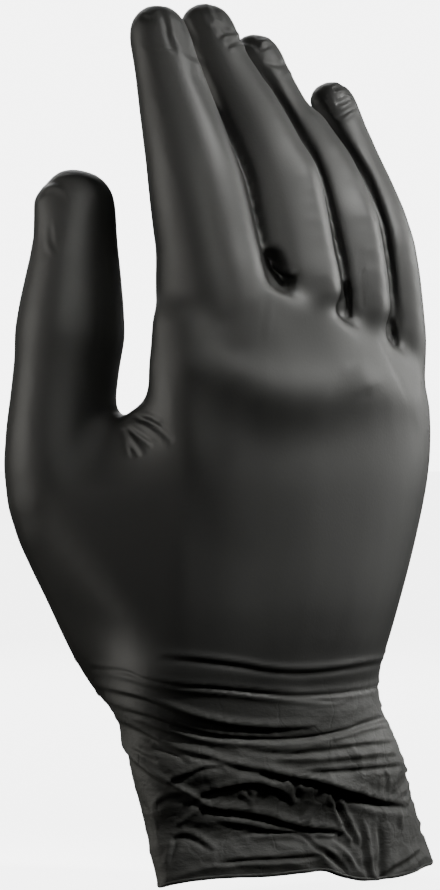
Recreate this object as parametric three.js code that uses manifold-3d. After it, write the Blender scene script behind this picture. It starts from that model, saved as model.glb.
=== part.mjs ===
// A disposable nitrile exam glove in the form it has on a right hand: one dipped film with five
// stalls, a palm, a loose creased cuff and a beaded rim. Millimetres, +Z up. The origin is the
// centre of the cuff's mouth, where the hand goes in. +X points to the little finger's side and
// +Y to the palm's side, so the back of the hand faces -Y.
import * as THREE from "three";
import * as BufferGeometryUtils from "three/addons/utils/BufferGeometryUtils.js";
import Module from "manifold-3d";

// Driving dimensions
const FILM = 1.4; // wall of the solid; the real film is a tenth of this
const BEAD = 2.4; // height of the rolled rim
const BEAD_PROUD = 0.8; // how far the rolled rim stands out of the cuff
const FOLD_DEPTH = 1.6; // from crest to valley of the deepest crease in the cuff
const FOLD_WIDTH = 3.2; // half the width of the broadest crease
const CUFF_LENGTH = 46; // mouth to the heel of the hand
const CREASE_REACH = 0.15; // share of the palm's length that the creases climb above the cuff
const PALM_LENGTH = 80; // heel of the hand to the middle knuckle
const WEB_RISE = 19; // middle knuckle to the top of the palm between the fingers
const MOUTH_BREADTH = 96;
const MOUTH_DEPTH = 27;
const HAND_BREADTH = 87;
const HAND_DEPTH = 31;
const INDEX_LENGTH = 96; // each from knuckle to fingertip
const MIDDLE_LENGTH = 99;
const RING_LENGTH = 97;
const LITTLE_LENGTH = 88;
const INDEX_BREADTH = 24; // each across the middle joint
const MIDDLE_BREADTH = 23;
const RING_BREADTH = 21.5;
const LITTLE_BREADTH = 20;
const THUMB_LENGTH = 123; // from the wrist's side to the thumb's tip
const THUMB_BREADTH = 27;
const WEB_LENGTH = 66; // the skin between thumb and index, from the wrist up
const WEB_BREADTH = 36;
const WEB_DEPTH = 14;

// Facets round each form and rows along it
const TRUNK_SIDES = 40;
const DIGIT_SIDES = 16;
const BEAD_STEP = 0.8;
const CUFF_STEP = 2.5;
const PALM_STEP = 8;
const DIGIT_STEP = 8;
const TIP_ANGLES = [26, 51, 77]; // degrees round a fingertip to each of its rows
const MERGE = 1e-4; // points closer than this are one

const HEEL = CUFF_LENGTH;
const KNUCKLES = CUFF_LENGTH + PALM_LENGTH;
const WEB_TOP = KNUCKLES + WEB_RISE;
const CREASES_TOP = HEEL + CREASE_REACH * PALM_LENGTH;

// Sections of the cuff from the mouth up. up is a share of the cuff's length; across and broad
// are shares of the mouth's breadth, out and deep of its depth; round is 2 for an ellipse; slope
// is the rise towards the little finger's side.
const CUFF_SECTIONS = [
  { up: 0.0, across: 0.0, out: 0.0, broad: 1.0, deep: 1.0, round: 1.7, slope: 0.012 },
  { up: 0.3, across: -0.015, out: 0.16, broad: 0.96, deep: 1.25, round: 1.8, slope: 0.01 },
  { up: 0.6, across: -0.04, out: 0.25, broad: 0.91, deep: 1.55, round: 2.0, slope: 0.0 },
  { up: 0.8, across: -0.065, out: 0.33, broad: 0.87, deep: 1.7, round: 2.0, slope: 0.0 },
];
// Sections of the palm from the heel of the hand up: shares of the palm's length, and of the
// hand's breadth and depth.
const PALM_SECTIONS = [
  { up: 0.0, across: -0.1, out: 0.37, broad: 0.94, deep: 1.6, round: 2.2, slope: 0.0 },
  { up: 0.2, across: -0.06, out: 0.3, broad: 0.94, deep: 1.55, round: 2.3, slope: 0.0 },
  { up: 0.45, across: 0.0, out: 0.22, broad: 0.97, deep: 1.36, round: 2.4, slope: 0.0 },
  { up: 0.75, across: 0.03, out: 0.18, broad: 1.03, deep: 1.2, round: 2.6, slope: -0.06 },
  { up: 1.0, across: 0.04, out: 0.18, broad: 1.02, deep: 1.06, round: 2.5, slope: -0.16 },
];
// Sections above the knuckles: shares of the web's rise, and of the hand's breadth and depth.
const WEB_SECTIONS = [
  { up: 0.5, across: 0.06, out: 0.2, broad: 0.94, deep: 0.98, round: 2.4, slope: -0.3 },
  { up: 0.8, across: 0.06, out: 0.24, broad: 0.82, deep: 0.86, round: 2.3, slope: -0.36 },
  { up: 1.0, across: 0.05, out: 0.28, broad: 0.62, deep: 0.58, round: 2.2, slope: -0.4 },
];

// Bearings are in degrees from the little finger's side (0) by way of the palm's side (90).

// Mounds and hollows of the hand under the film: the bearing and the height of the middle of
// each, as a share of the palm's length; how far it spreads, in degrees and as a share of the
// palm's length; and how proud it stands, as a share of the hand's depth.
const MOUNDS = [
  // the heel on the little finger's side
  { bearing: 40, up: 0.3, spread: 32, reach: 0.38, proud: 0.1 },
  // the hollow of the palm
  { bearing: 95, up: 0.62, spread: 38, reach: 0.26, proud: -0.13 },
  // the pads under the fingers
  { bearing: 80, up: 1.02, spread: 60, reach: 0.14, proud: 0.05 },
  // the knuckles
  { bearing: 262, up: 0.98, spread: 50, reach: 0.12, proud: 0.05 },
];

// Creases in the loose film of cuff and wrist, each round the cuff from one bearing to another.
// start, end and sag are shares of the cuff's length: where it starts, where it ends, and how
// far it rises between. deep is a share of the fold depth, inward if negative, and wide a share
// of the fold width.
const CREASES = [
  { from: 130, to: 330, start: 1.15, end: 1.12, sag: -0.05, deep: 0.35, wide: 0.6 },
  { from: 125, to: 325, start: 1.08, end: 1.04, sag: -0.06, deep: -0.5, wide: 0.6 },
  { from: 110, to: 330, start: 0.96, end: 0.86, sag: -0.16, deep: -0.8, wide: 0.8 },
  { from: 125, to: 320, start: 0.86, end: 0.42, sag: -0.08, deep: 0.7, wide: 0.8 },
  { from: 215, to: 335, start: 0.5, end: 0.38, sag: -0.04, deep: -0.9, wide: 0.8 },
  { from: 140, to: 250, start: 0.66, end: 0.3, sag: -0.06, deep: 0.5, wide: 0.7 },
  { from: 190, to: 300, start: 0.34, end: 0.26, sag: -0.05, deep: -0.9, wide: 0.9 },
  { from: 160, to: 290, start: 0.2, end: 0.1, sag: -0.04, deep: 0.6, wide: 0.8 },
  { from: -40, to: 110, start: 0.9, end: 0.98, sag: -0.1, deep: -0.7, wide: 0.8 },
  { from: -30, to: 130, start: 0.5, end: 0.7, sag: -0.08, deep: 0.6, wide: 0.9 },
  { from: -10, to: 140, start: 0.3, end: 0.2, sag: 0.06, deep: -0.8, wide: 0.9 },
];

// The digits. at is where the knuckle is: shares of the hand's breadth, its depth and the height
// of the knuckles. facing is the bearing that the digit's pad looks to. Each bone leans from the
// upright by so many degrees to a bearing.
const DIGITS = [
  {
    length: INDEX_LENGTH, breadth: INDEX_BREADTH, at: [-0.28, 0.06, 0.985],
    facing: 90, leans: [3, 11, 18, 19], bearings: [90, 96, 92, 90],
  },
  {
    length: MIDDLE_LENGTH, breadth: MIDDLE_BREADTH, at: [-0.035, 0.03, 1.0],
    facing: 90, leans: [3, 10.5, 27, 26], bearings: [90, 90, 90, 90],
  },
  {
    length: RING_LENGTH, breadth: RING_BREADTH, at: [0.205, 0.06, 0.97],
    facing: 90, leans: [3, 9, 31, 27], bearings: [90, 92, 94, 94],
  },
  {
    length: LITTLE_LENGTH, breadth: LITTLE_BREADTH, at: [0.42, 0.16, 0.92],
    facing: 90, leans: [3, 6, 20, 21], bearings: [90, 72, 96, 100],
  },
];
const THUMB = {
  length: THUMB_LENGTH, breadth: THUMB_BREADTH, at: [-0.335, 0.92, 0.445],
  facing: 10, leans: [22, 22, 2.5, 4], bearings: [144, 144, -30, -37],
};
// How much of a digit each bone takes: the part below its knuckle, then its three bones.
const FINGER_BONES = [0.25, 0.47, 0.28, 0.25];
const THUMB_BONES = [0.16, 0.39, 0.3, 0.31];

// Sections along a digit: along is a share of its length from the knuckle, and broad and deep
// are shares of its breadth.
const FINGER_SECTIONS = [
  { along: -0.25, broad: 0.4, deep: 0.4 },
  { along: 0.0, broad: 0.92, deep: 1.0 },
  { along: 0.18, broad: 1.05, deep: 1.22 },
  { along: 0.32, broad: 1.02, deep: 1.14 },
  { along: 0.47, broad: 0.99, deep: 1.06 },
  { along: 0.6, broad: 0.9, deep: 0.92 },
  { along: 0.75, broad: 0.79, deep: 0.74 },
  { along: 0.88, broad: 0.68, deep: 0.6 },
];
const THUMB_SECTIONS = [
  { along: -0.16, broad: 0.7, deep: 0.7 },
  { along: 0.0, broad: 1.12, deep: 1.12 },
  { along: 0.18, broad: 1.15, deep: 1.15 },
  { along: 0.33, broad: 1.2, deep: 1.2 },
  { along: 0.52, broad: 1.0, deep: 1.0 },
  { along: 0.6, broad: 0.99, deep: 0.99 },
  { along: 0.68, broad: 1.04, deep: 1.04 },
  { along: 0.75, broad: 0.95, deep: 0.95 },
  { along: 0.83, broad: 0.84, deep: 0.82 },
  { along: 0.9, broad: 0.72, deep: 0.68 },
];
// The web between thumb and index, from the wrist up: where its foot is, as shares of the hand's
// breadth, its depth and the height of the knuckles; its lean to a bearing; and the bearing and
// the climb of its broad way, towards the index. Its sections are shares of its length, breadth
// and depth.
const THUMB_WEB = { at: [-0.32, 0.53, 0.4], lean: 8, bearing: 165, turn: -82, climb: 25 };
const THUMB_WEB_SECTIONS = [
  { along: 0.0, broad: 0.94, deep: 2.3 },
  { along: 0.3, broad: 1.0, deep: 2.3 },
  { along: 0.6, broad: 0.97, deep: 1.95 },
  { along: 0.85, broad: 0.85, deep: 1.3 },
  { along: 1.0, broad: 0.65, deep: 0.6 },
];

const wasm = await Module();
wasm.setup();

const radians = THREE.MathUtils.degToRad;
const lerp = THREE.MathUtils.lerp;
const xAxis = new THREE.Vector3(1, 0, 0);
const yAxis = new THREE.Vector3(0, 1, 0);

// The direction that leans from the upright to a bearing, both in degrees.
function leaning(lean, bearing) {
  const flat = Math.sin(radians(lean));
  return new THREE.Vector3(flat * Math.cos(radians(bearing)), flat * Math.sin(radians(bearing)),
    Math.cos(radians(lean)));
}

// A point given as shares of the hand's breadth, its depth and the height of the knuckles.
function onHand([across, out, up]) {
  return new THREE.Vector3(across * HAND_BREADTH, out * HAND_DEPTH, up * KNUCKLES);
}

// A smooth curve through each column of a table, read at any value of its key column.
function smoothTable(rows, key) {
  const columns = Object.keys(rows[0]).filter((column) => column !== key);
  const keys = rows.map((row) => row[key]);
  const values = rows.flatMap((row) => columns.map((column) => row[column]));
  const curve = new THREE.CubicInterpolant(keys, values, columns.length);
  return (at) => {
    const found = curve.evaluate(at);
    return Object.fromEntries(columns.map((column, i) => [column, found[i]]));
  };
}

// Heights from low to high, evenly spaced at about the step.
function stations(low, high, step) {
  const count = Math.max(1, Math.round((high - low) / step));
  return Array.from({ length: count + 1 }, (_, i) => lerp(low, high, i / count));
}

// A closed ring of a rounded section. swell, if given, pushes it out at each angle in degrees.
function sectionRing({ centre, broadAxis, deepAxis, broad, deep, round, sides, swell }) {
  const bent = (value) => Math.sign(value) * Math.abs(value) ** (2 / round);
  return Array.from({ length: sides }, (_, i) => {
    const degrees = (360 * i) / sides;
    const push = swell ? swell(degrees) : 0;
    return centre.clone()
      .addScaledVector(broadAxis, (broad / 2 + push) * bent(Math.cos(radians(degrees))))
      .addScaledVector(deepAxis, (deep / 2 + push) * bent(Math.sin(radians(degrees))));
  });
}

// One closed body through a stack of rings with equally many points, with a fan over each end.
function loft(rings) {
  const sides = rings[0].length;
  const points = rings.flat();
  const index = [];
  for (let r = 0; r + 1 < rings.length; r++) {
    for (let i = 0; i < sides; i++) {
      const a = r * sides + i;
      const b = r * sides + ((i + 1) % sides);
      index.push(a, b, b + sides, a, b + sides, a + sides);
    }
  }
  const middleOf = (ring) => {
    const sum = ring.reduce((total, point) => total.add(point), new THREE.Vector3());
    return sum.divideScalar(sides);
  };
  const first = points.push(middleOf(rings[0])) - 1;
  const last = points.push(middleOf(rings.at(-1))) - 1;
  const top = (rings.length - 1) * sides;
  for (let i = 0; i < sides; i++) {
    const next = (i + 1) % sides;
    index.push(first, next, i);
    index.push(last, top + i, top + next);
  }
  return new THREE.BufferGeometry().setFromPoints(points).setIndex(index);
}

// Cuff and palm in one stack of sections, in millimetres from the three tables.
function trunkRows() {
  const sized = (rows, low, height, breadth, depth) => rows.map((row) => ({
    ...row,
    up: low + row.up * height,
    across: row.across * breadth,
    out: row.out * depth,
    broad: row.broad * breadth,
    deep: row.deep * depth,
  }));
  return [
    ...sized(CUFF_SECTIONS, 0, CUFF_LENGTH, MOUTH_BREADTH, MOUTH_DEPTH),
    ...sized(PALM_SECTIONS, HEEL, PALM_LENGTH, HAND_BREADTH, HAND_DEPTH),
    ...sized(WEB_SECTIONS, KNUCKLES, WEB_RISE, HAND_BREADTH, HAND_DEPTH),
  ];
}

// How far the mounds push the film out at a bearing and a height.
function mounded(degrees, up) {
  return MOUNDS.reduce((push, mound) => {
    const round = THREE.MathUtils.euclideanModulo(degrees - mound.bearing + 180, 360) - 180;
    const aside = round / mound.spread;
    const above = (up - HEEL - mound.up * PALM_LENGTH) / (mound.reach * PALM_LENGTH);
    return push + mound.proud * HAND_DEPTH * Math.exp(-aside * aside - above * above);
  }, 0);
}

// How far the creases push the film out at a bearing and a height.
function creased(degrees, up) {
  let push = 0;
  for (const { from, to, start, end, sag, deep, wide } of CREASES) {
    const turns = [degrees, degrees - 360].find((bearing) => bearing > from && bearing < to);
    if (turns === undefined) continue;
    const share = (turns - from) / (to - from);
    const line = CUFF_LENGTH * (lerp(start, end, share) + sag * 4 * share * (1 - share));
    const off = (up - line) / (wide * FOLD_WIDTH);
    push += deep * FOLD_DEPTH * Math.sqrt(Math.sin(Math.PI * share)) * Math.exp(-off * off);
  }
  return push;
}

// Cuff and palm, shrunk by inset. Shrunk, it is the hollow: it reaches out below the mouth and
// has no bead.
function trunk(inset) {
  const at = smoothTable(trunkRows(), "up");
  const rim = (up) => (inset || up > BEAD ? 0 : BEAD_PROUD * Math.sin((Math.PI * up) / BEAD));
  const ring = (up, height) => {
    const row = at(up);
    const points = sectionRing({
      centre: new THREE.Vector3(row.across, row.out, height),
      broadAxis: xAxis,
      deepAxis: yAxis,
      broad: row.broad - 2 * inset,
      deep: row.deep - 2 * inset,
      round: row.round,
      sides: TRUNK_SIDES,
      swell: (degrees) => mounded(degrees, up) + creased(degrees, up) + rim(up),
    });
    for (const point of points) point.z += row.slope * (point.x - row.across);
    return points;
  };
  const heights = [
    ...stations(0, BEAD, BEAD_STEP),
    ...stations(BEAD, CREASES_TOP, CUFF_STEP).slice(1),
    ...stations(CREASES_TOP, WEB_TOP, PALM_STEP).slice(1),
  ];
  const lowered = (up) => up - inset * Math.max(0, (up - KNUCKLES) / WEB_RISE);
  const rings = heights.map((up) => ring(up, lowered(up)));
  if (inset) rings.unshift(ring(0, -MOUTH_DEPTH));
  return loft(rings);
}

// A digit, shrunk by inset: bones laid end to end give its path, and sections ride on it.
function digit({ length, breadth, at, facing, leans, bearings }, bones, sections, inset) {
  const knuckle = onHand(at);
  const ways = leans.map((lean, bone) => leaning(lean, bearings[bone]));
  const joints = [knuckle.clone().addScaledVector(ways[0], -bones[0] * length)];
  bones.forEach((share, bone) => {
    joints.push(joints.at(-1).clone().addScaledVector(ways[bone], share * length));
  });
  const path = new THREE.CatmullRomCurve3(joints, false, "centripetal");
  const pathLength = path.getLength();
  const pad = leaning(90, facing);
  const shape = smoothTable(sections, "along");
  const start = sections[0].along * length;
  const tipRound = (sections.at(-1).broad * breadth) / 2;
  const end = start + pathLength - inset;
  const ring = (distance, shrink) => {
    const share = THREE.MathUtils.clamp((distance - start) / pathLength, 0, 1);
    const tangent = path.getTangentAt(share);
    const deepAxis = pad.clone().addScaledVector(tangent, -pad.dot(tangent)).normalize();
    const row = shape(Math.min(distance / length, sections.at(-1).along));
    return sectionRing({
      centre: path.getPointAt(share),
      broadAxis: new THREE.Vector3().crossVectors(deepAxis, tangent),
      deepAxis,
      broad: shrink * (row.broad * breadth - 2 * inset),
      deep: shrink * (row.deep * breadth - 2 * inset),
      round: 2,
      sides: DIGIT_SIDES,
    });
  };
  const rings = stations(start + inset, end - tipRound, DIGIT_STEP).map((d) => ring(d, 1));
  for (const degrees of TIP_ANGLES) {
    const angle = radians(degrees);
    rings.push(ring(end - tipRound * (1 - Math.sin(angle)), Math.cos(angle)));
  }
  return loft(rings);
}

// The skin between thumb and index, shrunk by inset.
function thumbWeb(inset) {
  const { at, lean, bearing, turn, climb } = THUMB_WEB;
  const rise = leaning(lean, bearing);
  const broadAxis = leaning(90 - climb, turn);
  const deepAxis = leaning(90, turn + 90);
  const shape = smoothTable(THUMB_WEB_SECTIONS, "along");
  return loft(stations(0, WEB_LENGTH, DIGIT_STEP).map((distance) => {
    const row = shape(distance / WEB_LENGTH);
    const raised = distance - inset * (distance / WEB_LENGTH);
    return sectionRing({
      centre: onHand(at).addScaledVector(rise, raised),
      broadAxis,
      deepAxis,
      broad: row.broad * WEB_BREADTH - 2 * inset,
      deep: row.deep * WEB_DEPTH - 2 * inset,
      round: 2,
      sides: DIGIT_SIDES,
    });
  }));
}

function toSolid(geometry) {
  const bare = geometry.clone();
  bare.deleteAttribute("normal");
  bare.deleteAttribute("uv");
  const merged = BufferGeometryUtils.mergeVertices(bare, MERGE);
  return new wasm.Manifold(new wasm.Mesh({
    numProp: 3,
    vertProperties: merged.attributes.position.array,
    triVerts: new Uint32Array(merged.index.array),
  }));
}

function toGeometry(solid) {
  const { vertProperties, triVerts } = solid.getMesh();
  const geometry = new THREE.BufferGeometry();
  geometry.setAttribute("position", new THREE.BufferAttribute(new Float32Array(vertProperties), 3));
  geometry.setIndex(new THREE.BufferAttribute(new Uint32Array(triVerts), 1));
  geometry.computeVertexNormals();
  return geometry;
}

// Everything that the film encloses, joined into one body.
function handForm(inset) {
  const forms = [
    trunk(inset),
    ...DIGITS.map((row) => digit(row, FINGER_BONES, FINGER_SECTIONS, inset)),
    digit(THUMB, THUMB_BONES, THUMB_SECTIONS, inset),
    thumbWeb(inset),
  ];
  return forms.map(toSolid).reduce((joined, form) => joined.add(form));
}

const nitrile = new THREE.MeshStandardMaterial({ color: 0x1b1c1c, roughness: 0.45, metalness: 0 });
const film = new THREE.Mesh(toGeometry(handForm(0).subtract(handForm(FILM))), nitrile);
film.name = "glove_film";

const glove = new THREE.Group();
glove.add(film);

export default glove;
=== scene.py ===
"""The visible surface, material, light and camera of a black nitrile exam glove."""

import math

import bmesh
import bpy
import numpy as np
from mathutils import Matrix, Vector, noise


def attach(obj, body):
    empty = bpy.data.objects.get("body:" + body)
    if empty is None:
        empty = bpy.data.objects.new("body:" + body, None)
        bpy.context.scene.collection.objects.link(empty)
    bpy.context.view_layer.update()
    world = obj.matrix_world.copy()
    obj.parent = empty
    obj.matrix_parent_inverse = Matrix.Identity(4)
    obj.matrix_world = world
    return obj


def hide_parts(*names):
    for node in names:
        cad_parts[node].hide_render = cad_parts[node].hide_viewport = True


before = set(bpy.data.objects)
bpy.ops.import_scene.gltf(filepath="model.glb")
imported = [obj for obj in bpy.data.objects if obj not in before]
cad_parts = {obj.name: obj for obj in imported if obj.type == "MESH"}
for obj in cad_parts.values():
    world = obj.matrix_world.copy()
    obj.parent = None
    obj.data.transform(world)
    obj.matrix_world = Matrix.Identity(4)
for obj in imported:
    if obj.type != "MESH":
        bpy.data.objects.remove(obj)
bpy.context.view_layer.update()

MM = 0.001
SEED = 4  # without one, noise_vector differs from run to run
noise.seed_set(SEED)

# The photograph's camera
PHOTO_WIDTH = 440
PHOTO_HEIGHT = 890
MM_PER_PIXEL = 0.25
CAMERA_DISTANCE = 1200.0
FRAME_CENTRE = (-19.75, 106.75)  # across and up, in millimetres, at the picture's middle
SENSOR = 36.0
CLIP = (0.05, 20.0)
RIGHT = np.array([math.sqrt(0.5), -math.sqrt(0.5), 0.0])
FORWARD = np.array([math.sqrt(0.5), math.sqrt(0.5), 0.0])
UP = np.array([0.0, 0.0, 1.0])
PIXEL = np.array([MM_PER_PIXEL, MM_PER_PIXEL])

# The glove's surface, in millimetres
VOXEL = 1.2  # between the skin's vertices
COARSE_VOXEL = 1.25 * VOXEL
MOUTH_SKIRT = 8.0  # how far the skin runs on below the mouth until it is cut off
MOUTH_CUT = 0.4  # the height of that cut
RIM_FACE_TOP = 1.5  # below this the solid's faces that look down are its rim
CUFF_TOP = 60.0  # below this the skin is made finer for the folds
FAR_FOLDS_TOP = 64.0
CUFF_MIDDLE = 8.0  # along y
CUFF_RADIUS = 34.0
FAR_SIDE_START = -135  # where the bearing round the cuff starts, in degrees
FILM = 0.6  # between the two skins at the rim
BEAD_RADIUS = 0.6
BEAD_SIDES = 10
DOWNWARD = -0.97  # the z of a normal that counts as looking down
INNER_DETAIL = 0.4  # the share of its triangles that the inner skin keeps

# Smoothing. The part of each inward move that is given back: at KEEP_SIZE the form keeps its
# size, and below it shrinks a little.
KEEP_SIZE = 0.51
KEEP_TAUT = 0.505
KEEP_HALF = 0.5
KEEP_LITTLE = 0.25
SIDEWAYS = 0.3  # the part of a move along the surface that bridging makes
LEAST_SHARE = 0.01  # below this share a vertex is left alone

# The form of every fold, in its own widths, and how it tapers over a share of its length
FOLD_REACH = 4.5
HOLLOW_ASIDE = 1.7
HOLLOW_WIDTH = 1.1
TAPER = 0.22
FOLD_SPACING = 0.4  # between the points of a fold's line, in millimetres
RIM_SPACING = 3.0  # between those of the rim's line, in pixels

# The crumple of loose film: the size of its patches and its height, in millimetres
CRUMPLE_FROM, CRUMPLE_TO = 44.0, 24.0  # none above the first height and all below the second
CRUMPLE_STRETCH = 0.6
CRUMPLE_BEND, CRUMPLE_BEND_SIZE = 3.0, 11.0
BROAD_SIZE, BROAD_HEIGHT = 6.5, 0.75
FINE_SIZE, FINE_HEIGHT, FINE_OFFSET = 2.8, 0.22, (7.0, 3.0, 5.0)
CRUMPLE_LEVEL = 0.3

# The rim's edge: how far up it carries the film with it, and its waves on the far side
RIM_FALLOFF = 16.0
RIM_WAVE = 0.6
RIM_WAVES = 3
# How much deeper the inner skin lies higher up, where it doesn't show, and from where to where
DEEPER = 1.8
DEEPER_FROM, DEEPER_TO = 2.0, 12.0

# The film's colours, and the heights in metres between which it goes from slack to taut
TAUT_COLOUR = (0.0035, 0.0036, 0.0033, 1)
SLACK_COLOUR = (0.054, 0.0545, 0.05, 1)
SLACK_BELOW, TAUT_ABOVE = 0.028, 0.056

# The studio, in metres
FLOOR_HEIGHT = -0.004
FLOOR_HALF_SIZE = 20.0
FLOOR_GREY = (0.7, 0.7, 0.7, 1)
FLOOR_GLOW = 5.0
BACKDROP_GLOW = 6.0
WHITE = (1, 1, 1, 1)

# Where taut film spans the hollows of the hand in one sweep. The film there is the hull of the
# part of the surface between the bounds: low and high in the frame, and top, the height of the
# film's free edge at x = 0 and its slope towards the little finger.
SWEEPS = [
    {"low": (-25.0, -30.0, 90.0), "high": (40.0, 8.0, 150.0), "top": (140.0, -0.31)},
    {"low": (-22.0, 14.0, 102.0), "high": (38.0, 40.0, 150.0), "top": (132.0, -0.25)},
]
# The same between thumb and index, in the photograph's pixels, on the side that it shows.
THUMB_SWEEP = {"low": (45.0, 486.0), "high": (190.0, 650.0)}

# Where the taut film is drawn over hollows: a place in the frame, how far it reaches, and how
# much of the drawing it gets, from 0 to 1.
SPANS = [
    {"at": (-42.0, -2.0, 86.0), "reach": (26.0, 28.0, 30.0), "share": 1.0},
    {"at": (-36.0, 0.0, 56.0), "reach": (22.0, 24.0, 14.0), "share": 0.7},
    {"at": (-34.0, 24.0, 78.0), "reach": (20.0, 16.0, 32.0), "share": 0.8},
    {"at": (8.0, 0.0, 98.0), "reach": (50.0, 40.0, 26.0), "share": 0.8},
]
# The same for smoothing alone.
TAUT = [
    {"at": (-34.0, -4.0, 80.0), "reach": (30.0, 24.0, 28.0), "share": 1.0},
    {"at": (-34.0, -2.0, 57.0), "reach": (24.0, 22.0, 13.0), "share": 0.9},
    {"at": (5.0, -8.0, 92.0), "reach": (48.0, 24.0, 34.0), "share": 1.0},
    {"at": (5.0, 26.0, 124.0), "reach": (38.0, 16.0, 13.0), "share": 0.8},
]
# Where the ridge of the thumb's base is drawn flat.
THUMB_BASE = [{"at": (-37.0, 24.0, 68.0), "reach": (20.0, 16.0, 26.0), "share": 1.0}]

# Where the outline moves sideways in the photograph's plane, in its pixels: the points of "from"
# go to those of "to", and what lies around them follows over the reach.
PULLS = [
    # upper left of the thumb
    {"from": [(32, 235), (36, 218), (44, 203), (53, 190), (66, 178)],
     "to": [(30, 237), (31, 217), (36, 200), (49, 187), (63, 175)], "reach": 16.0},
    # left of the index finger
    {"from": [(149, 250), (156, 278), (162, 300), (162, 325), (157, 350)],
     "to": [(149, 250), (153, 278), (157, 300), (158, 325), (156, 350)], "reach": 14.0},
    # right of the middle finger and of the ring finger
    {"from": [(258, 75), (267, 90), (296, 142), (303, 164), (318, 205), (329, 250), (334, 288)],
     "to": [(261, 75), (273, 90), (303, 142), (315, 164), (328, 205), (338, 250), (344, 288)],
     "reach": 15.0},
    {"from": [(318, 117), (345, 158), (358, 179), (372, 221), (380, 262), (386, 307)],
     "to": [(325, 117), (353, 158), (366, 182), (381, 221), (388, 262), (392, 307)],
     "reach": 12.0},
]

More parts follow.
